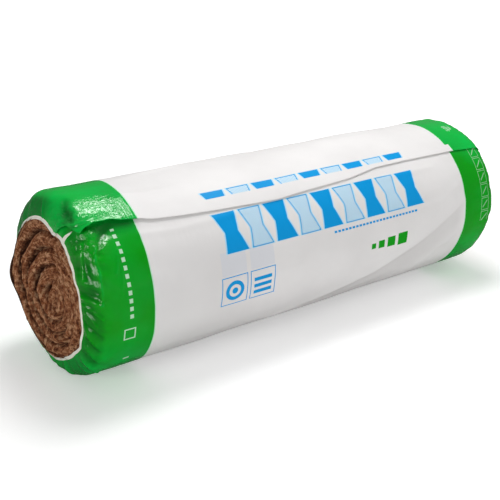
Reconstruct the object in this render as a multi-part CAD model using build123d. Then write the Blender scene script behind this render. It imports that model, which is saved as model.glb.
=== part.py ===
"""Insulation roll: a mat of mineral wool rolled up tight and sleeved in printed film.

Millimetres. The roll lies on its side. X runs along the roll, -Y is the front, where
the film overlaps, and +Z is up. The origin is on the floor under the roll's middle.
"""

import math
import os

from build123d import *

# Film sleeve
film_diameter = 410.0  # across the outside of the film
film_length = 1204.0  # from the film's lip at one end to its lip at the other
film_wall = 0.6  # the film with its wrinkles
shoulder_depth = 40.0  # along the roll, where the film bends in over its edge
shoulder_height = 38.0  # the same bend, across the roll
shoulder_facets = 5  # the narrow cones that the bend is drawn with, which keeps its mesh light
lip_width = 4.5  # the flat ring between the bend and the mouth
rim_height = 5.0  # the film's cut edge, which stands out round the mouth

# Overlap of the film, along the upper front of the roll
overlap_edge_angle = 47.0  # the free edge, in degrees above the front
overlap_width = 38.0  # how far the two layers lie on each other, round the roll

# Fit of the film on the wool
film_clearance = 0.3

# Wool, as it bulges through the mouths of the film
crown_height = 8.0  # past the film's lip
crown_bevel = 5.0

# Turns of the mat, as they show on both ends
eye_offset = 38.0  # from the roll's axis to the middle of the turns
eye_direction = 212.0  # degrees, from +Y towards +Z
wide_pitch = 38.0  # from turn to turn on the slack side, across the axis
tight_pitch = 25.0  # from turn to turn on the pressed side, next to the eye
first_wide_turn = 13.0  # from the middle of the turns to the first gap
first_tight_turn = 12.0
half_turn_count = 10
turn_bevel_width = 8.0  # the mat's rounded edge at each side of a gap
turn_bevel_depth = 7.0
gap_width = 2.0
gap_depth = 17.0

film_radius = film_diameter / 2
mouth_radius = film_radius - shoulder_height - lip_width
wool_inset = film_wall + film_clearance
wool_length = film_length + 2 * crown_height
turn_line = Vector(0, -1, 0).rotate(Axis.X, eye_direction)  # from the eye through the axis


def turned_drum(inset):
    """The roll's outer form, moved inwards everywhere by the inset."""
    end = film_length / 2 - inset
    radius = film_radius - inset
    depth = shoulder_depth - inset
    height = shoulder_height - inset
    bend = []
    for facet in range(shoulder_facets + 1):
        turn = math.radians(90 * facet / shoulder_facets)
        along = end - depth * (1 - math.sin(turn))
        across = radius - height * (1 - math.cos(turn))
        bend.append((along, across))
    near_bend = [(-along, across) for along, across in reversed(bend)]
    outline = Polyline(*near_bend, *bend, (end, 0), (-end, 0), close=True)
    return revolve(Plane.XZ * make_face(outline), Axis.X)


def overlap_wedge():
    """The slice of the roll, seen from its end, that the film's overlap covers."""
    overlap_angle = math.degrees(overlap_width / film_radius)
    reach = 2 * film_radius
    corners = [Vector(0, 0, 0)]
    for angle in (overlap_edge_angle, overlap_edge_angle + overlap_angle):
        corners.append(Vector(0, -reach, 0).rotate(Axis.X, -angle))
    slice_face = make_face(Polyline(*corners, close=True))
    return extrude(slice_face, film_length, dir=(1, 0, 0), both=True)


def make_film_wrap():
    """One sheet of film: a sleeve with turned-in ends, lapped over itself along the front."""
    sleeve = turned_drum(0) - turned_drum(film_wall)
    upper_layer = (turned_drum(-film_wall) - turned_drum(0)) & overlap_wedge()
    rims = Cylinder(mouth_radius + film_wall, film_length + 2 * rim_height, rotation=(0, 90, 0))
    rims -= turned_drum(film_wall)
    mouths = Cylinder(mouth_radius, 2 * film_length, rotation=(0, 90, 0))
    return sleeve + upper_layer + rims - mouths


def gap_plane(place, outwards):
    """A plane across the gap: its second axis points out of the roll's end."""
    return Plane(origin=place, x_dir=turn_line, z_dir=turn_line.cross(outwards))


def half_gap_section():
    """Half of the gap between two turns, with the bevelled edge of the mat at its side."""
    half_gap = gap_width / 2
    half_width = half_gap + turn_bevel_width
    corners = [
        (0, crown_height),
        (half_width, crown_height),
        (half_width, 0),
        (half_gap, -turn_bevel_depth),
        (0, -gap_depth),
    ]
    return make_face(Polyline(*corners, close=True))


def turn_marks():
    """Where the gap crosses the line through the eye and the axis, from the eye outwards."""
    marks = []
    for number in range(half_turn_count + 1):
        turn = number // 2
        if number % 2 == 0:
            marks.append(first_wide_turn + turn * wide_pitch)
        else:
            marks.append(-first_tight_turn - turn * tight_pitch)
    return marks


def make_spiral_groove(outwards):
    """The spiral gap on one end, as half turns that run on smoothly from one another."""
    eye = outwards * (wool_length / 2) - turn_line * eye_offset
    half_section = half_gap_section()
    section = half_section + half_section.mirror(Plane.YZ)
    marks = turn_marks()
    groove = []
    for start, end in zip(marks, marks[1:]):
        turn_axis = Axis(eye + turn_line * ((start + end) / 2), (1, 0, 0))
        place = gap_plane(eye + turn_line * start, outwards)
        groove.append(revolve(place * section, turn_axis, 180))
    # The gap ends in a round at the eye. Its other end lies under the film's lip.
    inner_end = gap_plane(eye + turn_line * marks[0], outwards)
    groove.append(revolve(inner_end * half_section, Axis(inner_end.origin, (1, 0, 0)), 360))
    return groove


def make_wool_roll():
    """The rolled-up mat: a turned body with the spiral of its turns in both ends."""
    crown_radius = mouth_radius - film_clearance
    crown = Cylinder(crown_radius, wool_length, rotation=(0, 90, 0))
    crown = chamfer(crown.edges().filter_by(GeomType.CIRCLE), crown_bevel)
    wool = turned_drum(wool_inset) + crown
    for outwards in (Vector(-1, 0, 0), Vector(1, 0, 0)):
        wool -= make_spiral_groove(outwards)
    return wool


os.makedirs("parts", exist_ok=True)
on_the_floor = Pos(0, 0, film_radius)
export_step(on_the_floor * make_film_wrap(), "parts/film_wrap.step")
export_step(on_the_floor * make_wool_roll(), "parts/wool_roll.step")
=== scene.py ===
"""Insulation roll on a pale floor: mineral wool, rolled up in a lapped and printed film.

Lengths are in millimetres until a shape is set into its mesh. On the roll, an angle of 0 is
the front, 90 the top and 180 the back. The film's run is the distance along the film from the
roll's middle, and goes on round the bend over each end. Its arc is the distance round the
roll from the front, upwards.
"""

import math

import bmesh
import bpy
import numpy as np
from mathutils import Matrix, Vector, noise


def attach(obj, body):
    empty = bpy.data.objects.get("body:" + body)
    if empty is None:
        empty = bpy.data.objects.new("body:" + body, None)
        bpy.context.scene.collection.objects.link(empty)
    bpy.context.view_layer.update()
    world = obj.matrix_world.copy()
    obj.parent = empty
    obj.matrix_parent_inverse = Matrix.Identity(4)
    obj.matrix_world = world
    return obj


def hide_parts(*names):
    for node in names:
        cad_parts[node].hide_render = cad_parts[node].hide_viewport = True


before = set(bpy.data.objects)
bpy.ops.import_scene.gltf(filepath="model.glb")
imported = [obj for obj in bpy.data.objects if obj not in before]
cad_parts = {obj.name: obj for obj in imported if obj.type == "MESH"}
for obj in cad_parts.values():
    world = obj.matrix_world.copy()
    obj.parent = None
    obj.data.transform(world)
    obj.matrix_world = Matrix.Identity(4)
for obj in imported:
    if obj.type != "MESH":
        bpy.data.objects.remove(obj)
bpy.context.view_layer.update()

METRES = 0.001
NEAR, FAR = -1, 1  # the two ends, by their side along the roll

# The roll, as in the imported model
ROLL_RADIUS = 205.0
AXIS_HEIGHT = 205.0
BEND_START = 562.0  # along the roll, where the film starts to bend in over the end
BEND_DEPTH = 40.0
BEND_HEIGHT = 38.0
BEND_RUN = 61.3
LIP_RUN = 5.0  # from the bend to the bare edge
EDGE_RUN = 7.0  # the bare edge of the film, round each mouth
LIP_PLACE = BEND_START + BEND_DEPTH
LIP_RADIUS = ROLL_RADIUS - BEND_HEIGHT
BEND_END = BEND_START + BEND_RUN
FILM_HALF_RUN = BEND_START + BEND_RUN + LIP_RUN + EDGE_RUN

# The overlap of the film
FREE_EDGE_ANGLE = 47.0
OVERLAP_ANGLE = 10.6

# The spiral of the mat
EYE_OFFSET = 38.0
EYE_DIRECTION = math.radians(212.0)
TIGHT_PITCH = 25.0
WIDE_PITCH = 38.0
MEAN_PITCH = (WIDE_PITCH + TIGHT_PITCH) / 2
TIGHTEST_ANGLE = 20.0  # where the mat lies tightest in its end; it is slack on the other side

# How the ends are out of true
LEAN_START = 430.0
LEAN_ACROSS = -0.044  # along the roll, for each millimetre across it
LEAN_UP = 0.026  # along the roll, for each millimetre up
BULGES = [(187, 15, 13.0), (215, 30, 3.0)]  # angle of a bulge, its width, and how far it pushes
FLOOR_GAP = 0.4


# Helpers for shapes

def smooth(value, low, high):
    """0 below low, 1 above high, and a soft rise between."""
    part = np.clip((np.asarray(value, float) - low) / (high - low), 0, 1)
    return part * part * (3 - 2 * part)


def within(value, low, full, fading, gone):
    """1 between full and fading, with a soft fall to 0 at low and at gone."""
    return smooth(value, low, full) * (1 - smooth(value, fading, gone))


def bell(value, middle, width):
    """1 at the middle, with a soft fall to 0 on both sides."""
    return np.exp(-(((value - middle) / width) ** 2))


def lumps(points, size, seed):
    """Soft random lumps from -1 to 1 at each point, about as wide as the size."""
    shift = Vector((seed * 17.3, seed * 5.1, seed * 9.7))
    return np.array([noise.noise(Vector(point) / size + shift) for point in points])


def facets(points, size, seed):
    """Flat random facets with sharp edges: 0 along the edges, up to about 1 between them."""
    shift = Vector((seed * 7.9, seed * 3.3, seed * 11.1))
    found = [noise.voronoi(Vector(point) / size + shift)[0] for point in points]
    return np.array([near[1] - near[0] for near in found])


def from_table(table, places):
    """Reads a table of (place, value) rows between its rows."""
    return np.interp(places, [row[0] for row in table], [row[1] for row in table])


def crease(run, arc, line, width, height):
    """A fold along a line of (run, arc) points: a rounded ridge, or a valley if below 0."""
    nearest = np.full(len(run), 1e9)
    for (x0, y0), (x1, y1) in zip(line, line[1:]):
        dx, dy = x1 - x0, y1 - y0
        part = np.clip(((run - x0) * dx + (arc - y0) * dy) / (dx * dx + dy * dy), 0, 1)
        nearest = np.minimum(nearest, np.hypot(run - x0 - part * dx, arc - y0 - part * dy))
    return height * bell(nearest, 0, width)


def dent(run, arc, size, depth):
    """A soft round dent about the place where the run and the arc are 0."""
    return -depth * np.exp(-((run / size[0]) ** 2 + (arc / size[1]) ** 2))


def spaced(*stretches):
    """Places from (start, end, step) stretches, one after the other."""
    places = []
    for start, end, step in stretches:
        count = max(1, round(abs(end - start) / step))
        places.extend(np.linspace(start, end, count + 1)[:-1])
    places.append(stretches[-1][1])
    return np.array(places)


def flat_grid(across, along):
    """A grid of faces in a new bmesh, with each vertex's place in the two lists."""
    bm = bmesh.new()
    bmesh.ops.create_grid(bm, x_segments=len(across) - 1, y_segments=len(along) - 1, size=0.5)
    bm.verts.ensure_lookup_table()
    flat = np.array([vert.co[:2] for vert in bm.verts]) + 0.5
    columns = np.rint(flat[:, 0] * (len(across) - 1)).astype(int)
    rows = np.rint(flat[:, 1] * (len(along) - 1)).astype(int)
    return bm, np.asarray(across)[columns], np.asarray(along)[rows]


def set_places(bm, places):
    """Moves each vertex to its place, given in millimetres."""
    for vert, place in zip(bm.verts, places * METRES):
        vert.co = place


def write_map(bm, name, across, along):
    """Writes two numbers per vertex into the piece's UV map, in metres."""
    layer = bm.loops.layers.uv.new(name)
    pairs = np.stack([across, along], 1) * METRES
    bm.verts.index_update()
    for face in bm.faces:
        for loop in face.loops:
            loop[layer].uv = pairs[loop.vert.index]


def write_value(bm, name, values):
    """Writes one number per vertex, for the piece's material."""
    layer = bm.verts.layers.float.new(name)
    for vert, value in zip(bm.verts, values):
        vert[layer] = value


def to_piece(bm, name, material):
    """Makes the finished bmesh a piece of the scene."""
    mesh = bpy.data.meshes.new(name)
    bm.to_mesh(mesh)
    bm.free()
    mesh.shade_smooth()
    mesh.materials.append(material)
    piece = bpy.data.objects.new(name, mesh)
    bpy.context.scene.collection.objects.link(piece)
    return piece


# Places on the roll

def front_side(angle):
    """The angle between -180 and 180, with the front in its middle."""
    return (np.asarray(angle, float) + 180) % 360 - 180


def arc_of(angle):
    return np.radians(angle) * ROLL_RADIUS


def slack_at(angle):
    """0 at the front of an end, where the mat lies tight and low, and 1 at its back."""
    return 0.5 - 0.5 * np.cos(np.radians(angle - TIGHTEST_ANGLE))


MOUTH = [  # angle, and the outer radius of the film's bare white edge there
    (0, 157), (13, 156), (34, 154), (41, 155), (51, 159), (58, 162), (64, 155), (71, 149),
    (78, 152), (87, 155), (113, 154), (142, 157), (155, 161), (180, 166), (211, 167),
    (235, 168), (263, 168), (277, 166), (295, 159), (316, 160), (330, 168), (337, 167),
    (348, 163), (360, 157),
]


def mouth_radius(angle):
    return from_table(MOUTH, np.asarray(angle) % 360)


def lean_ends(places):
    """The near end leans with its front and top inwards, and the mat pushes out at its back."""
    x, y, z = places.T
    angle = np.degrees(np.arctan2(z, -y)) % 360
    leaning = smooth(-x, LEAN_START, LIP_PLACE)
    bulging = smooth(-x, 540, LIP_PLACE) * within(np.hypot(y, z), 105, 160, 168, 203)
    bulge = sum(push * bell(angle, middle, width) for middle, width, push in BULGES)
    places[:, 0] += leaning * (LEAN_ACROSS * y + LEAN_UP * z) - bulging * bulge
    places[:, 2] += AXIS_HEIGHT
    places[:, 2] = np.maximum(places[:, 2], FLOOR_GAP)
    return places


# Film

FILM_WALL = 0.5
EDGE_CURL = 2.2  # how far the bare edge curls out along the roll
LAP_LIFT = 0.7  # the upper layer stands off the even roll, and the lower lies under it, by this
FLAP_WIDTH = 9.5  # degrees from the free edge that lift off the layer under it
UNDER_FLAP = 15.0  # degrees that the lower layer reaches further up at the near mouth
PLEAT_SLANT = 0.45  # how far the near end's pleats run down, for each step along the film
PLEAT_MIDDLE = 590.0
FILM_RUNS = (  # from, to and step along the film, finest over the near end
    (-FILM_HALF_RUN, -BEND_END, 1.7), (-BEND_END, -BEND_START, 2.9), (-BEND_START, -430, 3.9),
    (-430, 150, 13), (150, 430, 8), (430, BEND_START, 6.6), (BEND_START, BEND_END, 4),
    (BEND_END, FILM_HALF_RUN, 2.4),
)
FILM_TURNS = (  # from, to and step round the roll, in degrees, finest along the overlap
    (0, 26, 0.74), (26, 70, 1.5), (70, 215, 2.2), (215, 300, 1.6),
    (300, 360 + OVERLAP_ANGLE, 0.85),
)
FREE_EDGE = [  # run, and angle of the free edge there
    (-636, 66.0), (-614, 64.0), (-600, 60.5), (-592, 54.5), (-583, 49.5), (-574, 51.2),
    (-555, 52.9), (-513, 53.4), (-487, 51.9), (-444, 50.8), (-424, 48.8), (-352, 46.8),
    (-275, 45.4), (-109, 43.4), (-34, 44.7), (113, 46.6), (208, 50.6), (320, 51.0),
    (486, 50.3), (599, 48.1), (636, 48.0),
]
EDGE_LIFT = [  # run, and how far the free edge stands off the layer under it
    (-636, 1.5), (-604, 3.0), (-580, 8.0), (-560, 12.0), (-525, 11.0), (-490, 6.0),
    (-440, 3.0), (-300, 1.8), (-100, 1.1), (100, 1.1), (300, 1.6), (480, 1.6), (600, 1.5),
    (636, 1.0),
]
LONG_FOLD = [  # (run, arc) points of the long fold that slants down the front
    (471, 45.8), (338, -21.5), (269, -53.7), (172, -98.4), (45, -131), (-120, -168),
]
BODY_CREASES = [  # (run, arc) points of a faint fold on the white film, its width and height
    # on the front
    ([(-455, 150), (-380, 141), (-290, 144), (-180, 150)], 9, 1.6),
    ([(-450, 262), (-405, 250), (-350, 247)], 8, 1.4),
    ([(-445, 60), (-410, 10), (-400, -60)], 12, 1.1),
    ([(120, 160), (240, 146), (380, 150)], 8, 1.2),
    ([(455, 90), (400, 60), (300, 52)], 9, 1.2),
    ([(460, -40), (390, -80), (330, -150)], 11, 1.4),
    ([(-200, -150), (-60, -185), (90, -190)], 12, 1.4),
    # on the top and at the back
    ([(-420, 330), (-250, 372), (-60, 384)], 12, 2.0),
    ([(60, 424), (220, 392), (410, 405)], 12, 2.2),
    ([(-440, 500), (-300, 474), (-120, 492)], 12, 2.8),
    ([(-60, 560), (150, 538), (330, 566)], 12, 2.5),
    ([(330, 470), (420, 520), (455, 590)], 12, 2.3),
    ([(-450, 610), (-330, 580), (-220, 596)], 12, 2.5),
    ([(-400, -420), (-200, -380), (40, -400)], 12, 2.5),
    ([(140, -470), (290, -500), (440, -470)], 12, 2.5),
]
NEAR_FOLDS = [  # (run, angle) points of a fold in the near end's film, its width and height
    # on the flap
    ([(-574, 77), (-586, 72), (-596, 64)], 10.5, -5.4),
    ([(-579, 66), (-588, 62), (-590, 57)], 5.0, -3.0),
    ([(-590, 58), (-578, 56), (-566, 55), (-545, 56)], 4.5, 3.5),
    ([(-595, 96), (-610, 92), (-628, 90)], 2.8, 2.2),
    # in its shade
    ([(-565, 40), (-576, 32), (-573, 26), (-575, 19), (-578, 8)], 3.2, 4.6),
    ([(-589, 45.5), (-596, 39), (-602, 33), (-606, 24)], 3.4, 3.8),
    ([(-522, 51), (-539, 47), (-555, 42), (-567, 36)], 8.5, -3.6),
    ([(-519, 36), (-528, 29), (-536, 23)], 2.4, 2.4),
    ([(-520, 25), (-528, 17), (-534, 10)], 2.4, 1.6),
    # slantwise from the mouth to the band
    ([(-618, 21), (-598, 18), (-582, 15)], 5.5, -3.6),
    ([(-623, 13), (-599, 10), (-582, 7.6)], 3.4, 3.4),
    ([(-623, 7.6), (-599, 3.6), (-579, -1.0)], 2.8, 4.2),
    ([(-618, 1.6), (-605, -1.4), (-592, -6.0)], 2.5, 3.8),
    ([(-624, -6), (-598, -9.8), (-580, -14)], 4.6, -4.0),
    ([(-614, -14), (-599, -18), (-582, -23)], 2.9, 4.0),
    ([(-622, -20), (-600, -22), (-585, -24)], 4.6, -3.6),
    ([(-617, -24), (-597, -28), (-578, -34)], 3.0, 3.6),
    ([(-618, -31), (-600, -33), (-580, -36)], 4.6, -3.0),
    ([(-613, -37), (-592, -40), (-562, -52)], 3.2, 3.2),
]
NEAR_DENTS = [  # (run, angle) of a dent's middle, its size both ways, and its depth
    ((-586, 68), (11, 30), 4.0),
    ((-535, 47), (34, 12), 2.5),
    ((-603, 55), (12, 16), 4.5),
    ((-568, 47), (14, 17), -4.2),
    ((-594, 24), (8, 34), 3.0),
    ((-603, 6), (9, 26), 3.0),
    ((-585, 232), (24, 44), -8.0),
]


def film_profile(run):
    """Place along the roll, radius, and outward direction of the film at a run along it."""
    length = np.abs(run)
    side = np.sign(run)
    turn = np.clip((length - BEND_START) / BEND_RUN, 0, 1) * math.pi / 2
    along = np.minimum(length, BEND_START) + BEND_DEPTH * np.sin(turn)
    radius = ROLL_RADIUS - BEND_HEIGHT * (1 - np.cos(turn))
    inwards = np.clip(length - BEND_END, 0, None)
    curl = np.clip(inwards - LIP_RUN, 0, None) / EDGE_RUN
    along = along + EDGE_CURL * curl ** 2
    return side * along, radius - inwards, side * np.sin(turn), np.cos(turn)


def even_points(run, angle, stretch=1.0):
    """Points on the even roll. A stretch below 1 draws what is random out along the roll."""
    turn = np.radians(angle)
    return np.stack([run * stretch, np.cos(turn) * ROLL_RADIUS, np.sin(turn) * ROLL_RADIUS], 1)


def faint_wrinkles(run, angle):
    """How far the film stands off its even form by its wrinkles and its long folds."""
    length, front = np.abs(run), front_side(angle)
    arc = arc_of(front)
    at = even_points(run, angle)
    relief = 1.3 * lumps(at, 170, 1) + 0.5 * lumps(at, 70, 10)
    relief += 0.7 * lumps(even_points(run, angle, 0.25), 55, 2)
    # flat facets, which are deeper at the back
    facet_height = 2.4 + 1.8 * smooth(np.abs(front), 80, 125)
    relief += facet_height * (facets(even_points(run, angle, 0.45), 95, 11) - 0.5)
    relief += smooth(length, 470, 560) * (1.5 * lumps(at, 45, 3) + 0.8 * lumps(at, 20, 4))
    relief += smooth(length, BEND_END - 10, FILM_HALF_RUN) * 0.9 * lumps(at, 26, 7)
    # the long fold has a valley beside it, and both fade at the far band
    fading = 1 - 0.85 * smooth(run, 370, 465)
    relief += fading * crease(run, arc, LONG_FOLD, 6.0, 3.2)
    relief += fading * crease(run, arc + 22, LONG_FOLD, 15, -2.6)
    for line, width, height in BODY_CREASES:
        relief += crease(run, arc, line, width, height)
    return relief


def end_pleats(run, angle):
    """How far the pleats stand out where the film is gathered over both ends."""
    length, front = np.abs(run), front_side(angle)
    pleated = smooth(length, BEND_START - 25, BEND_START + 25)
    pleated *= 1 - 0.8 * smooth(length, BEND_END - 10, FILM_HALF_RUN)
    # over the near end they are deepest at its front, and nearly gone at its top
    deep = 0.4 + 0.15 * within(front, -100, -60, 50, 78)
    deep -= 0.28 * within(front, 62, 84, 140, 178)
    deep = np.where(run < 0, deep, 0.33)
    # and there they run slantwise, down from its mouth
    slant = np.where(run < 0, np.degrees(PLEAT_SLANT * (run + PLEAT_MIDDLE) / ROLL_RADIUS), 0)
    here = np.nonzero(pleated > 0.02)[0]
    gathered = even_points(run[here], (angle + slant)[here], 0.3)
    pleats = 11 * facets(gathered, 40, 5) - 6 * facets(gathered, 23, 6)
    pleats += 3.0 * lumps(gathered, 44, 9) - 1.6
    standing = np.zeros(len(run))
    standing[here] = (pleated * deep)[here] * pleats
    return standing


def near_folds(run, angle):
    """How far the folds and dents of the near end stand out."""
    front = front_side(angle)
    standing = np.zeros(len(run))
    near = np.nonzero((run < -440) & (front > -75) & (front < 115))[0]
    near_run, near_arc = run[near], arc_of(front[near])
    for line, width, height in NEAR_FOLDS:
        points = [(place, arc_of(turn)) for place, turn in line]
        standing[near] += crease(near_run, near_arc, points, width, height)
    for (place, turn), size, depth in NEAR_DENTS:
        standing += dent(run - place, arc_of(front_side(angle - turn)), size, depth)
    return standing


def ink_painted_light(run, angle, standing):
    """Painted light and shade on the film, from 0 to 1.

    The film is thin, and the wool shows through the white film a little at random; the rest is
    painted shade in the valleys of its pleats and folds, a painted highlight on their ridges,
    and painted shade on the near end's shaded shoulder and under the long fold.
    """
    front = front_side(angle)
    # painted shade in the valleys of the pleats and folds, and a painted highlight on their
    # ridges
    painted_light_and_show_through = 0.5 + standing / 19
    # painted shade on the near end's shoulder, over its top and along the front of its mouth
    painted_light_and_show_through -= 0.36 * smooth(-run, 584, 598) * within(front, 78, 96, 140, 178)
    painted_light_and_show_through -= 0.2 * smooth(-run, 570, 586) * within(front, -100, -60, 30, 62)
    # and painted shade in a broad strip under the long fold
    below = from_table(sorted(LONG_FOLD), run) - arc_of(front)
    painted_light_and_show_through -= 0.13 * within(below, 0, 7, 25, 110) * within(run, -130, 60, 440, 472)
    # the wool shows through the white film a little, at random
    cloudy = 1 + lumps(even_points(run, angle, 0.45), 110, 12)
    painted_light_and_show_through -= 0.06 * (1 - smooth(np.abs(run), 470, 560)) * cloudy
    return np.clip(painted_light_and_show_through, 0, 1)


def film_places(run, angle, turn_place):
    """Where the film lies, and its painted light and shade, from its run, its angle and degrees
    from its edge.
    """
    along, radius, out_along, out_radius = film_profile(run)
    standing = end_pleats(run, angle) + near_folds(run, angle)
    painted_light_and_show_through = ink_painted_light(run, angle, standing)
    # painted shadow close under the free edge of the near end
    past_edge = turn_place - 360 - (from_table(FREE_EDGE, run) - FREE_EDGE_ANGLE)
    painted_light_and_show_through -= 0.36 * within(-run, 436, 480, 584, 606) * bell(past_edge, -1.5, 3.4)

    stand = faint_wrinkles(run, angle) + standing
    flap = np.clip(1 - turn_place / FLAP_WIDTH, 0, 1)
    stand += from_table(EDGE_LIFT, run) * flap ** 1.3
    stand += LAP_LIFT * (1 - smooth(turn_place, 8, 40) - smooth(turn_place, 335, 360))
    along = along + out_along * stand
    radius = radius + out_radius * stand
    # the slack mat pushes the bare edge out, and the mouth isn't quite round
    length = np.abs(run)
    pushed = slack_at(angle) * smooth(length, BEND_END - 6, FILM_HALF_RUN)
    along += np.sign(run) * 6 * pushed
    out_of_round = mouth_radius(angle) - (LIP_RADIUS - LIP_RUN)
    radius += out_of_round * smooth(length, BEND_START + 15, BEND_END)
    turn = np.radians(angle)
    places = np.stack([along, -radius * np.cos(turn), radius * np.sin(turn)], 1)
    return lean_ends(places), painted_light_and_show_through


def make_film(material):
    """The film: one flat sheet, rolled round the wool past its own edge, and turned in."""
    bm, run, turn_place = flat_grid(spaced(*FILM_RUNS), spaced(*FILM_TURNS))
    edge_shift = from_table(FREE_EDGE, run) - FREE_EDGE_ANGLE
    angle = FREE_EDGE_ANGLE + turn_place + edge_shift * (1 - smooth(turn_place, 0, 60))
    # the flap's corner draws back at the near mouth, and the layer under it reaches further up
    under_flap = smooth(turn_place, 340, 360 + OVERLAP_ANGLE)
    angle += UNDER_FLAP * smooth(-run, 560, 598) * under_flap
    places, painted_light_and_show_through = film_places(run, angle, turn_place)
    set_places(bm, places)
    write_value(bm, "painted_light_and_show_through", painted_light_and_show_through)
    write_map(bm, "Sheet", run, arc_of(angle - 360))
    bmesh.ops.recalc_face_normals(bm, faces=bm.faces)
    middle = bm.faces[len(bm.faces) // 2]
    out = middle.calc_center_median() - Vector((0, 0, AXIS_HEIGHT * METRES))
    if middle.normal.dot(Vector((0, out.y, out.z))) < 0:
        bmesh.ops.reverse_faces(bm, faces=bm.faces)
    piece = to_piece(bm, "film_sleeve", material)
    wall = piece.modifiers.new("Wall", "SOLIDIFY")
    wall.thickness = FILM_WALL * METRES
    wall.offset = -1
    return piece


# Wool

TURN_SAMPLES = 360
ACROSS_SAMPLES = 14
TURNS = 7
END_RADIUS = 186.0  # where the mat's turns go out of sight, under the film's bend
EYE_RADIUS = 1.5  # inside it the turns run into one point
RIM_MARGIN = 0.5  # what lies as close to the rim as this is drawn onto it
WELD = 0.002  # how close the turns' edges lie where they meet
LOOSENESS = {NEAR: 3.5, FAR: 8.0}  # how unevenly the turns run
TIGHT_GAP, SLACK_GAP = 8.0, 30.0  # how deep the gaps between the turns are
DEEPEST_CRACK = 13.0
PRESSED_ANGLE = 283.0  # where the roll's weight presses the turns together
HIDDEN_RINGS = ((564, 186), (542, 193), (440, 198.5))  # place and radius, under the film
CRACKS = {  # for each end, (y, z) points of a crack in the turns, its width and its depth
    NEAR: [
        ([(-11, -87), (-22, -87), (-37, -95), (-56, -92), (-83, -89)], 3.2, 13),
        ([(-16, -129), (-29, -129), (-56, -128)], 2.2, 4),
        ([(-23, -33), (-43, -41), (-65, -51)], 3.0, 8),
    ],
    FAR: [
        ([(24, -64), (48, -72), (82, -66), (104, -58)], 3.2, 12),
        ([(-58, 36), (-80, 58), (-88, 92)], 3.2, 11),
        ([(22, 96), (40, 118), (66, 120)], 3.0, 10),
        ([(-96, -42), (-112, -20), (-110, 8)], 3.0, 9),
    ],
}


def pitch_at(angle):
    """The thickness of one turn at an angle from the line through the eye and the axis."""
    return MEAN_PITCH + (WIDE_PITCH - TIGHT_PITCH) / 2 * np.cos(angle)


def reach_at(angle):
    """How far it is from the eye to the edge of the wool's end."""
    off_line = EYE_OFFSET * np.sin(angle)
    return EYE_OFFSET * np.cos(angle) + np.sqrt(END_RADIUS ** 2 - off_line ** 2)


def turned_wool(side):
    """The end of the rolled mat: its long edge, coiled up from the eye outwards."""
    angles = np.linspace(-2 * math.pi, TURNS * 2 * math.pi, (TURNS + 1) * TURN_SAMPLES + 1)
    # the samples lie closest at a turn's gaps and along its crown
    across = np.linspace(0, 1, ACROSS_SAMPLES + 1)
    across = 0.5 - 0.5 * np.cos(across * math.pi) * (0.35 + 0.65 * np.abs(2 * across - 1))
    bm, angle, place = flat_grid(angles, across)
    reach = reach_at(angle)
    ring = angle / (2 * math.pi) + place
    distance = pitch_at(angle) * ring
    # close to the eye and to the rim it is drawn together, so that no sliver is left there
    distance = np.where(distance < EYE_RADIUS, 0, distance)
    distance = np.where(distance > reach - RIM_MARGIN, reach, distance)
    # from the line through the eye and the axis to the roll's own angles
    turn = angle + EYE_DIRECTION - math.pi
    y = EYE_OFFSET * math.cos(EYE_DIRECTION) + distance * np.cos(turn)
    z = EYE_OFFSET * math.sin(EYE_DIRECTION) + distance * np.sin(turn)
    # no turn runs quite evenly
    loose = (1 - smooth(np.hypot(y, z), 105, 150)) * LOOSENESS[side]
    at = np.stack([y, z, np.full(len(y), side * 300.0)], 1)
    aside, up = (loose * lumps(at, 42, seed) for seed in (31, 32))
    return bm, angle, place, ring, distance, y + aside, z + up


def wool_end(side):
    """One end of the mat, with crowned turns, deep gaps, loose strands and a few cracks."""
    bm, angle, place, ring, distance, y, z = turned_wool(side)
    at = np.stack([y, z, np.full(len(y), side * 400.0)], 1)
    pitch = pitch_at(angle)
    coil_run = MEAN_PITCH * angle * np.abs(angle) / (4 * math.pi)
    roll_angle = np.degrees(np.arctan2(z, -y)) % 360
    inside = mouth_radius(roll_angle) - EDGE_RUN - np.hypot(y, z)
    slack = slack_at(roll_angle)
    pressed = 0.28 * bell(roll_angle, PRESSED_ANGLE, 22)
    open_face = smooth(inside, 0, 14)

    # a turn is crowned, and the gap beside it is deep; at the eye the turns run together
    at_eye = 1 - smooth(distance, 0, 8)
    off_gap = np.minimum(place, 1 - place) * 2
    from_gap = off_gap * (1 - at_eye) + 0.6 * at_eye
    depth = (TIGHT_GAP + (SLACK_GAP - TIGHT_GAP) * slack) * (1 + 0.9 * lumps(at, 60, 21))
    height = -2 + 12 * slack + (5 + 3 * slack) * smooth(inside, 0, 22 - 10 * slack)
    height -= depth * (1 - pressed) * (1 - from_gap) ** 2.2 * open_face
    height += open_face * (4.0 * lumps(at, 70, 22) + 2.4 * lumps(at, 24, 23) - 2 * (1 - slack))
    # each turn has its own strands, which end at its gaps, so that the turns meet closed
    strands = np.stack([coil_run / 26, place * pitch / 5.2, at[:, 2]], 1)
    own = smooth(off_gap, 0, 0.25) * (1 - at_eye)
    height += open_face * (2.6 * own * lumps(strands, 1, 24) + 1.8 * lumps(at, 6.5, 25))
    for line, width, crack_depth in CRACKS[side]:
        cut = crease(y, z, line, width, 1.0)
        height -= crack_depth * cut
        from_gap = np.minimum(from_gap, 1 - cut * crack_depth / DEEPEST_CRACK)
    # out of sight it goes down behind the film's bend
    height -= 15 * slack * smooth(-inside, 0, 9) + 22 * smooth(-inside, 1, 24)

    places = np.stack([side * (LIP_PLACE + height), y, z], 1)
    set_places(bm, lean_ends(places))
    write_map(bm, "Coil", ring * pitch, coil_run)
    write_value(bm, "from_gap", 1 - (1 - from_gap) * (0.4 + 0.6 * slack) * (1 - pressed))
    return bm


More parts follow.
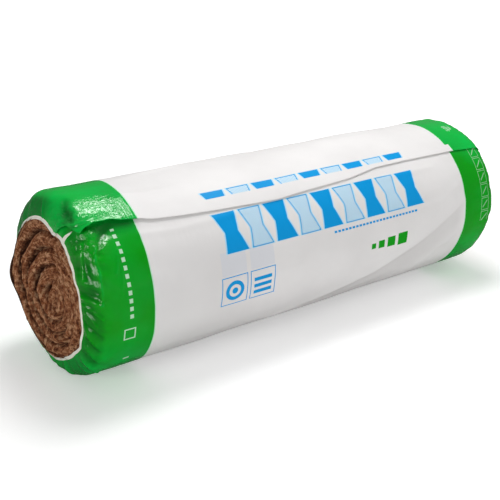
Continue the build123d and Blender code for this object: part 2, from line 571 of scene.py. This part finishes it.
def grow_rim(bm, rim, side):
    """Grows the rim of one end under the film, ring by ring, and gives its last ring."""
    for place, radius in HIDDEN_RINGS:
        grown = bmesh.ops.extrude_edge_only(bm, edges=rim)["geom"]
        rim = [item for item in grown if isinstance(item, bmesh.types.BMEdge)]
        for vert in [item for item in grown if isinstance(item, bmesh.types.BMVert)]:
            y, z = vert.co.y, vert.co.z - AXIS_HEIGHT * METRES
            scale = radius * METRES / math.hypot(y, z)
            vert.co = (side * place * METRES, y * scale, z * scale + AXIS_HEIGHT * METRES)
    return rim


def make_wool(material):
    """The mat: both coiled ends, joined by the turned body that the film hides."""
    mesh = bpy.data.meshes.new("wool_joined")
    joined = bmesh.new()
    for bm in [wool_end(side) for side in (NEAR, FAR)]:
        bm.to_mesh(mesh)
        bm.free()
        joined.from_mesh(mesh)
    bpy.data.meshes.remove(mesh)
    bmesh.ops.remove_doubles(joined, verts=joined.verts, dist=WELD * METRES)
    rims = [edge for edge in joined.edges if edge.is_boundary]
    last_rings = []
    for side in (NEAR, FAR):
        rim = [edge for edge in rims if edge.verts[0].co.x * side > 0]
        last_rings += grow_rim(joined, rim, side)
    bmesh.ops.bridge_loops(joined, edges=last_rings)
    bmesh.ops.recalc_face_normals(joined, faces=joined.faces)
    return to_piece(joined, "wool_mat", material)


# Materials

class Bench:
    """Adds nodes to a material or a world and joins them up."""

    def __init__(self, owner, shader, target):
        owner.use_nodes = True
        self.owner = owner
        self.tree = owner.node_tree
        self.tree.nodes.clear()
        self.surface = self.node(shader)
        output = self.node(target)
        self.tree.links.new(self.surface.outputs[0], output.inputs["Surface"])

    def node(self, kind, inputs=(), **settings):
        made = self.tree.nodes.new(kind)
        for key, value in settings.items():
            setattr(made, key, value)
        for key, value in dict(inputs).items():
            self.feed(made.inputs[key], value)
        return made

    def feed(self, socket, value):
        if isinstance(value, bpy.types.NodeSocket):
            self.tree.links.new(value, socket)
        else:
            socket.default_value = value

    def finish(self, **values):
        """Sets the surface's sockets; a _ in a name stands for a space."""
        for name, value in values.items():
            self.feed(self.surface.inputs[name.replace("_", " ")], value)

    def calc(self, operation, *values):
        made = self.node("ShaderNodeMath", operation=operation)
        for socket, value in zip(made.inputs, values):
            self.feed(socket, value)
        return made.outputs[0]

    def plus(self, first, second):
        return self.calc("ADD", first, second)

    def minus(self, first, second):
        return self.calc("SUBTRACT", first, second)

    def times(self, first, *others):
        """The product, which for masks is where all of them hold."""
        for other in others:
            first = self.calc("MULTIPLY", first, other)
        return first

    def either(self, first, *others):
        """The highest, which for masks is where any of them holds."""
        for other in others:
            first = self.calc("MAXIMUM", first, other)
        return first

    def below(self, value, limit):
        return self.calc("LESS_THAN", value, limit)

    def above(self, value, limit):
        return self.calc("GREATER_THAN", value, limit)

    def away(self, value, middle):
        """How far the value is from the middle."""
        return self.calc("ABSOLUTE", self.minus(value, middle))

    def band(self, value, middle, half):
        """1 where the value is within half of the middle."""
        return self.calc("COMPARE", value, middle, half)

    def repeat(self, value, pitch):
        """Rises from 0 to 1 over each pitch, again and again."""
        return self.calc("FRACT", self.calc("DIVIDE", value, pitch))

    def span(self, value, low, high, to_low=0.0, to_high=1.0):
        """Goes evenly from to_low to to_high while the value goes from low to high."""
        made = self.node("ShaderNodeMapRange", {
            "Value": value, "From Min": low, "From Max": high,
            "To Min": to_low, "To Max": to_high})
        return made.outputs["Result"]

    def box(self, across, up, middle, half):
        """1 inside a plain upright box."""
        return self.times(self.band(across, middle[0], half[0]),
                          self.band(up, middle[1], half[1]))

    def outline(self, across, up, middle, half, line):
        """1 on the outline of a plain box."""
        inner = self.box(across, up, middle, (half[0] - line, half[1] - line))
        return self.times(self.box(across, up, middle, half), self.minus(1.0, inner))

    def value_of(self, name):
        """A number that each vertex of the piece carries."""
        return self.node("ShaderNodeAttribute", attribute_name=name).outputs["Fac"]

    def map_of(self, name):
        return self.node("ShaderNodeUVMap", uv_map=name).outputs["UV"]

    def body(self):
        return self.node("ShaderNodeTexCoord").outputs["Object"]

    def stretched(self, vector, across, along):
        return self.node("ShaderNodeMapping", {
            "Vector": vector, "Scale": (across, along, 1.0)}).outputs["Vector"]

    def grain(self, vector, scale, detail=4.0, roughness=0.5, **settings):
        return self.node("ShaderNodeTexNoise", {
            "Vector": vector, "Scale": scale, "Detail": detail, "Roughness": roughness},
            **settings).outputs["Fac"]

    def over(self, mask, under, paint):
        """Paint over what is under it."""
        return self.node("ShaderNodeMix", {0: mask, 6: under, 7: paint},
                         data_type="RGBA").outputs[2]

    def bump(self, height, distance, normal=None):
        made = self.node("ShaderNodeBump", {"Height": height, "Distance": distance})
        if normal is not None:
            self.feed(made.inputs["Normal"], normal)
        return made.outputs["Normal"]


def material_bench(name):
    return Bench(bpy.data.materials.new(name), "ShaderNodeBsdfPrincipled",
                 "ShaderNodeOutputMaterial")


def colour(red, green, blue):
    """A colour from the 0 to 255 values that a screen shows."""
    def linear(value):
        value /= 255
        return value / 12.92 if value <= 0.04045 else ((value + 0.055) / 1.055) ** 2.4
    return (linear(red), linear(green), linear(blue), 1.0)


def front_arc(degrees):
    """The arc on the layer that passes the front."""
    return ROLL_RADIUS * math.radians(degrees)


def flap_arc(degrees):
    """The arc on the layer that starts at the free edge and goes over the top."""
    return ROLL_RADIUS * math.radians(degrees - 360)


WHITE_FILM = colour(241, 239, 238)
GREY_FILM = colour(236, 234, 233)
# painted shade on the white film, which also stands for the wool showing through it
FILM_SHADE_AND_SHOW_THROUGH = colour(206, 203, 202)
BARE_FILM = colour(255, 254, 240)
GREEN_INK = colour(0, 190, 72)
DEEP_GREEN_INK = colour(0, 160, 14)
# painted shade and painted highlight colours of the green ink
PAINTED_SHADE_GREEN = colour(0, 92, 24)
PAINTED_HIGHLIGHT_GREEN = colour(20, 204, 96)
FRINGE = colour(190, 236, 205)
PALE_INK = colour(205, 240, 212)
BLUE_INK = colour(0, 154, 224)
BLUE_HALO = colour(170, 222, 248)
HATCH_GROUND = colour(216, 234, 244)
HATCH_LINE = colour(110, 190, 232)
FAINT_BLUE = colour(214, 219, 229)

# The print. Places are runs, and sizes are half sizes.
NEAR_BAND = -459.0  # the run where the near green band starts
FAR_BAND = 473.0
FRINGE_WIDTH = 2.5
BLOCK_PITCH, FIRST_BLOCK, BLOCK_COUNT = 67.3, -286.0, 9
BLOCK_HEIGHT, CUT_HEIGHT = 46.0, 26.0  # of a whole block, and of what the flap leaves out
GREEN_SQUARES = ((146.0, 7.0), (172.0, 10.0), (205.0, 13.0), (244.0, 16.0))  # place and size
TARGET_BOX, BARS_BOX = -262.0, -187.0
NEAR_BARS, NEAR_SQUARE, NEAR_DASH = -514.0, -518.0, -512.0
LADDER, RUNG_PITCH = 551.0, 37.0
TAB_START = -596.0  # the run where a white corner of the cut edge shows in the near end
TAB_ARC = front_arc(55.5)


def block_row(bench, paint, run, arc, middle, low, high):
    """A row of leaning blue blocks, filled and hatched in turn, cut off at low and high."""
    up = bench.minus(arc, middle)
    leaning = bench.plus(run, bench.times(up, 0.13))
    cell = bench.calc("DIVIDE", bench.minus(leaning, FIRST_BLOCK), BLOCK_PITCH)
    off_middle = bench.times(bench.away(bench.calc("FRACT", cell), 0.5), BLOCK_PITCH)
    odd = bench.band(bench.calc("MODULO", bench.calc("FLOOR", cell), 2.0), 1.0, 0.1)
    strip = bench.times(bench.band(cell, BLOCK_COUNT / 2, BLOCK_COUNT / 2),
                        bench.band(up, (low + high) / 2, (high - low) / 2))
    # the sides of each block pull in towards its middle, like a reel's
    height = bench.away(arc, middle)
    waist = bench.times(bench.minus(45.0, height), 0.26)
    reach = bench.either(bench.plus(off_middle, waist), bench.minus(height, 16.5))
    inside = bench.times(strip, odd, bench.below(reach, 26.3))
    hatch = bench.below(bench.repeat(bench.plus(run, arc), 6.5), 0.3)
    paint = bench.over(bench.times(strip, bench.below(reach, 31.5)), paint, BLUE_HALO)
    paint = bench.over(bench.times(strip, bench.below(reach, 28.5)), paint, BLUE_INK)
    paint = bench.over(inside, paint, HATCH_GROUND)
    return bench.over(bench.times(inside, hatch), paint, HATCH_LINE)


def print_on_white(bench, paint, run, arc):
    """The plain pattern on the white film."""
    for place in (TARGET_BOX, BARS_BOX):
        faint = bench.box(run, arc, (place, front_arc(12.0)), (32.0, 26.0))
        paint = bench.over(bench.times(faint, 0.5), paint, FAINT_BLUE)
    # the row of blocks, and what the flap shows of the next row
    paint = block_row(bench, paint, run, arc, front_arc(30.5), -BLOCK_HEIGHT, BLOCK_HEIGHT)
    paint = block_row(bench, paint, run, arc, flap_arc(54.0) - CUT_HEIGHT, CUT_HEIGHT,
                      BLOCK_HEIGHT)
    # a thin dashed line, and a row of green squares
    line = bench.box(run, arc, (158.0, front_arc(14.0)), (136.0, 2.6))
    dash = bench.below(bench.repeat(run, 11.0), 0.72)
    paint = bench.over(bench.times(line, dash), paint, BLUE_INK)
    for place, half in GREEN_SQUARES:
        square = bench.box(run, arc, (place, front_arc(-3.5)), (half, half))
        paint = bench.over(square, paint, DEEP_GREEN_INK)
    # two boxes, with a target in one and bars in the other
    middle = front_arc(-6.0)
    for place in (TARGET_BOX, BARS_BOX):
        outline = bench.outline(run, arc, (place, middle), (34.0, 35.0), 2.2)
        paint = bench.over(outline, paint, BLUE_INK)
    squares = bench.plus(bench.calc("POWER", bench.minus(run, TARGET_BOX), 2.0),
                         bench.calc("POWER", bench.minus(arc, middle), 2.0))
    distance = bench.calc("SQRT", squares)
    target = bench.either(bench.band(distance, 19.5, 4.5), bench.below(distance, 7.5))
    paint = bench.over(target, paint, BLUE_INK)
    bars = bench.below(bench.repeat(bench.minus(arc, middle - 24), 16.0), 0.55)
    inside = bench.box(run, arc, (BARS_BOX, middle), (24.0, 24.0))
    return bench.over(bench.times(inside, bars), paint, BLUE_INK)


def print_on_bands(bench, paint, run, arc, body):
    """Pale marks on the green bands, and a painted highlight on the far flap."""
    # short bars that run round the near band, a plain square and a dash
    bars = bench.box(run, arc, (NEAR_BARS, front_arc(22.0)), (4.2, front_arc(27.0)))
    bars = bench.times(bars, bench.below(bench.repeat(arc, 17.0), 0.55))
    square = bench.outline(run, arc, (NEAR_SQUARE, front_arc(-15.0)), (14.0, 14.0), 3.0)
    dash = bench.box(run, arc, (NEAR_DASH, front_arc(-38.0)), (7.0, 3.0))
    marks = bench.either(bars, square, dash)
    paint = bench.over(bench.times(marks, 0.85), paint, PALE_INK)
    # a ladder of outlined boxes on the far band, each with a slanting stroke in it
    rung = bench.minus(bench.times(bench.repeat(arc, RUNG_PITCH), RUNG_PITCH), RUNG_PITCH / 2)
    stroke = bench.times(bench.box(run, rung, (LADDER, 0.0), (9.0, 10.0)),
                         bench.band(bench.minus(bench.minus(run, LADDER), rung), 0.0, 2.0))
    boxes = bench.outline(run, rung, (LADDER, 0.0), (14.0, 17.0), 1.4)
    ladder = bench.times(bench.either(boxes, stroke),
                         bench.band(arc, front_arc(23.0), front_arc(31.0)))
    paint = bench.over(bench.times(ladder, 0.5), paint, PALE_INK)
    # and a painted highlight: a speckled pale patch on its flap
    painted_highlight_patch = bench.times(bench.box(run, arc, (540.0, flap_arc(74.0)), (13.0, 15.0)),
                           bench.span(bench.grain(body, 170.0, 2.0), 0.46, 0.56))
    return bench.over(bench.times(painted_highlight_patch, 0.55), paint, PALE_INK)


def green_bands(bench, run, arc, body):
    """Where the green ink lies over both ends, and the pale fringe where it stops."""
    waver = bench.times(bench.minus(bench.grain(body, 6.0, 2.0), 0.5), 3.0)
    wavy_run = bench.plus(run, waver)
    # on the flap the ink stops further along than on the layer under it
    flap = bench.below(arc, flap_arc(57.0))
    far_run = bench.minus(wavy_run, bench.times(flap, 12.0))
    near_run = bench.minus(wavy_run, bench.span(
        arc, flap_arc(200.0), flap_arc(60.0), 0.0, 8.0))
    green = bench.either(bench.below(near_run, NEAR_BAND), bench.above(far_run, FAR_BAND))
    fringe = bench.either(bench.below(near_run, NEAR_BAND + FRINGE_WIDTH),
                          bench.above(far_run, FAR_BAND - FRINGE_WIDTH))
    return green, fringe


def green_ink(bench, arc, painted_light_and_show_through, cloudy):
    """The ink with painted light: painted lighter on the top and below than along the front,
    with painted shade in valleys and shaded places, and a painted highlight on ridges.
    """
    # painted light: the ink is painted lighter on the top and below than along the front
    painted_light_off_front = bench.span(bench.away(arc, front_arc(12.0)),
                           front_arc(20.0), front_arc(62.0), -0.2, 0.6)
    ink = bench.over(bench.plus(painted_light_off_front, bench.times(cloudy, 0.4)),
                     DEEP_GREEN_INK, GREEN_INK)
    # painted shade where the value is low, painted highlight where it is high
    ink = bench.over(bench.span(painted_light_and_show_through, 0.5, 0.05, 0.0, 0.8), ink, PAINTED_SHADE_GREEN)
    return bench.over(bench.span(painted_light_and_show_through, 0.54, 0.9, 0.0, 0.6), ink, PAINTED_HIGHLIGHT_GREEN)


def cut_edges(bench, run, arc):
    """Where bare white film shows: at both cut edges, and in a corner over the near mouth."""
    bare = bench.span(bench.away(arc, -18.0), 80.0, 190.0, 4.4, EDGE_RUN)
    edge = bench.above(bench.plus(bench.calc("ABSOLUTE", run), bare), FILM_HALF_RUN)
    tab_width = bench.times(bench.minus(run, TAB_START), -0.22)
    tab = bench.times(bench.below(bench.away(arc, TAB_ARC), tab_width),
                      bench.below(run, TAB_START))
    return bench.either(edge, tab)


def stuck_spots(bench, run, arc):
    """Where the film sticks to the wool: along the flap, and in a patch under it."""
    on_flap = bench.times(bench.span(arc, flap_arc(50.0), flap_arc(56.0)),
                          bench.span(arc, flap_arc(80.0), flap_arc(72.0)))
    under_it = bench.times(bench.span(arc, front_arc(32.0), front_arc(40.0)),
                           bench.span(arc, front_arc(60.0), front_arc(50.0)),
                           bench.span(run, -528.0, -545.0))
    return bench.times(bench.span(run, -462.0, -480.0), bench.either(on_flap, under_it))


def fine_relief(bench, run, arc, sheet, body, mottled, fine):
    """The film's finest wrinkles, as a normal."""
    near_ends = bench.span(bench.calc("ABSOLUTE", run), 400.0, 500.0, 0.42, 1.0)
    crumple = bench.grain(body, 38.0, 4.0, 0.55, noise_type="RIDGED_MULTIFRACTAL")
    # it is pulled into fine lines round the roll on the flap, next to where the ink stops
    tense_here = bench.times(bench.span(run, -505.0, -480.0), bench.span(run, -448.0, -462.0),
                             bench.span(arc, flap_arc(50.0), flap_arc(54.0)),
                             bench.span(arc, flap_arc(82.0), flap_arc(70.0)))
    tense = bench.times(bench.grain(bench.stretched(sheet, 150.0, 9.0), 1.0, 3.0),
                        bench.plus(bench.times(tense_here, 2.4), 0.12))
    height = bench.plus(bench.times(crumple, near_ends, 0.5), tense)
    height = bench.plus(height, bench.times(mottled, 1.4))
    return bench.bump(fine, 0.00008, bench.bump(height, 0.0016))


def film_material():
    """Thin printed film: white, with green ends, and a plain pattern of blue and green."""
    bench = material_bench("printed_film")
    sheet, body = bench.map_of("Sheet"), bench.body()
    parts = bench.node("ShaderNodeSeparateXYZ", {"Vector": sheet})
    run = bench.times(parts.outputs["X"], 1000.0)
    arc = bench.times(parts.outputs["Y"], 1000.0)
    painted_light_and_show_through = bench.value_of("painted_light_and_show_through")
    cloudy = bench.span(bench.grain(body, 9.0, 3.0), 0.35, 0.65)

    paint = bench.over(cloudy, GREY_FILM, WHITE_FILM)
    # painted shade on the white film under the long fold and close under the flap's edge, with
    # the wool also showing through very faintly at random
    paint = bench.over(bench.span(painted_light_and_show_through, 0.5, 0.2), paint, FILM_SHADE_AND_SHOW_THROUGH)
    paint = print_on_white(bench, paint, run, arc)
    green, fringe = green_bands(bench, run, arc, body)
    paint = bench.over(fringe, paint, FRINGE)
    paint = bench.over(green, paint, green_ink(bench, arc, painted_light_and_show_through, cloudy))
    paint = print_on_bands(bench, paint, run, arc, body)
    paint = bench.over(cut_edges(bench, run, arc), paint, BARE_FILM)

    fine = bench.grain(body, 240.0, 3.0, 0.6)
    spots = bench.grain(body, 130.0, 3.0, 0.6)
    stuck = stuck_spots(bench, run, arc)
    rough = bench.minus(bench.span(fine, 0.3, 0.7, 0.4, 0.52), bench.times(green, 0.26))
    gloss = bench.plus(bench.times(green, 0.25), 0.15)
    gloss = bench.plus(gloss, bench.times(bench.span(spots, 0.42, 0.6), stuck))
    mottled = bench.times(spots, stuck)
    bench.finish(
        Base_Color=paint, Roughness=rough, Specular_IOR_Level=gloss,
        Normal=fine_relief(bench, run, arc, sheet, body, mottled, fine))
    return bench.owner


DARK_WOOL = colour(96, 44, 20)
BROWN_WOOL = colour(190, 116, 74)
PALE_WOOL = colour(250, 194, 148)
PALE_FIBRE = colour(226, 180, 146)
GAP_SHADE = colour(50, 20, 8)


def wool_material():
    """Matted brown fibre, streaked along the coil, and dark in the gaps between its turns."""
    bench = material_bench("mineral_wool")
    body = bench.body()
    streaks = bench.grain(bench.stretched(bench.map_of("Coil"), 250.0, 42.0), 1.0, 6.0, 0.65)
    clumps = bench.grain(body, 105.0, 5.0, 0.65)
    fibres = bench.grain(body, 900.0, 3.0, 0.7)
    mixed = bench.plus(bench.times(streaks, 0.5), bench.times(clumps, 0.5))
    paint = bench.over(bench.span(mixed, 0.4, 0.5), DARK_WOOL, BROWN_WOOL)
    paint = bench.over(bench.span(mixed, 0.5, 0.58), paint, PALE_WOOL)
    paint = bench.over(bench.span(fibres, 0.5, 0.75, 0.0, 0.5), paint, PALE_FIBRE)
    ragged = bench.plus(bench.value_of("from_gap"), bench.times(mixed, 0.8))
    paint = bench.over(bench.span(ragged, 1.1, 0.7, 0.0, 0.9), paint, GAP_SHADE)
    normal = bench.bump(bench.plus(streaks, bench.times(clumps, 0.7)), 0.013)
    normal = bench.bump(fibres, 0.0025, normal)
    bench.finish(Base_Color=paint, Roughness=0.95, Specular_IOR_Level=0.15, Normal=normal)
    return bench.owner


# Stage

SKY = 0.45  # the light of the room
MIRRORED_SKY = 0.14  # what the glossy film mirrors of it, as if past dark screens
NEAR_SKY = 0.35  # the share of it that comes from beyond the near end
FLOOR_GLOW = 0.34  # lifts the lit floor round the roll to white, for the camera only
FLOOR_WHITE = (0.86, 0.86, 0.86, 1)
MIRRORED_FLOOR = (0.22, 0.22, 0.22, 1)
FLOOR_HALF_SIZE = 30.0

CAMERA_PLACE = (-1.1274, -1.4934, 0.9103)
CAMERA_TURN = (math.radians(67.848), 0, math.radians(-35.038))
LENS, SENSOR = 56.919, 36.0


def floor_material():
    """A white floor that the camera sees as white, and that keeps the roll's shadow."""
    bench = material_bench("floor_white")
    path = bench.node("ShaderNodeLightPath")
    away = bench.node("ShaderNodeVectorMath", {0: bench.body()},
                      operation="LENGTH").outputs["Value"]
    glow = bench.span(away, 0.7, 2.2, FLOOR_GLOW, 1.0)
    bench.finish(
        Base_Color=bench.over(path.outputs["Is Glossy Ray"], FLOOR_WHITE, MIRRORED_FLOOR),
        Roughness=0.9, Specular_IOR_Level=0.0, Emission_Color=(1, 1, 1, 1),
        Emission_Strength=bench.times(path.outputs["Is Camera Ray"], glow))
    return bench.owner


def make_floor():
    bm = bmesh.new()
    bmesh.ops.create_grid(bm, x_segments=1, y_segments=1, size=FLOOR_HALF_SIZE)
    floor = to_piece(bm, "floor", floor_material())


def make_world():
    """An even white room, darker towards the near end, which the camera sees as plain white."""
    world = bpy.data.worlds.new("studio")
    bench = Bench(world, "ShaderNodeBackground", "ShaderNodeOutputWorld")
    path = bench.node("ShaderNodeLightPath")
    seen, mirrored = path.outputs["Is Camera Ray"], path.outputs["Is Glossy Ray"]
    room = bench.calc("MULTIPLY_ADD", seen, 1 - SKY, SKY)
    room = bench.calc("MULTIPLY_ADD", mirrored, MIRRORED_SKY - SKY, room)
    ahead = bench.node("ShaderNodeTexCoord").outputs["Generated"]
    along = bench.node("ShaderNodeSeparateXYZ", {0: ahead}).outputs["X"]
    share = bench.either(bench.span(along, -1.0, 0.6, NEAR_SKY, 1.0), seen)
    bench.finish(Color=(1, 1, 1, 1), Strength=bench.times(room, share))
    bpy.context.scene.world = world


def add_lamp(name, place, aim, size, power, mirrored=True):
    lamp = bpy.data.lights.new(name, "AREA")
    lamp.shape = "RECTANGLE"
    lamp.size, lamp.size_y = size
    lamp.energy = power
    stand = bpy.data.objects.new(name, lamp)
    stand.location = place
    stand.visible_glossy = mirrored
    stand.rotation_euler = (Vector(aim) - Vector(place)).to_track_quat("-Z", "Y").to_euler()
    bpy.context.scene.collection.objects.link(stand)


def make_camera():
    lens = bpy.data.cameras.new("camera")
    lens.lens = LENS
    lens.sensor_width = SENSOR
    camera = bpy.data.objects.new("camera", lens)
    camera.location = CAMERA_PLACE
    camera.rotation_euler = CAMERA_TURN
    bpy.context.scene.collection.objects.link(camera)
    bpy.context.scene.camera = camera


bpy.context.scene.view_settings.view_transform = "Standard"
make_camera()
make_world()
make_floor()
add_lamp("softbox_above", (0.25, 0.3, 2.1), (-0.05, 0, 0.2), (0.9, 1.0), 28)
add_lamp("softbox_front", (0.9, -2.8, 0.5), (-0.1, 0, 0.2), (3.6, 0.9), 25, mirrored=False)
add_lamp("softbox_left", (-2.6, -0.7, 0.9), (-0.5, 0, 0.25), (0.5, 1.0), 13)

film = make_film(film_material())
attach(film, "root")
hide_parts("film_wrap")

wool = make_wool(wool_material())
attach(wool, "root")
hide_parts("wool_roll")
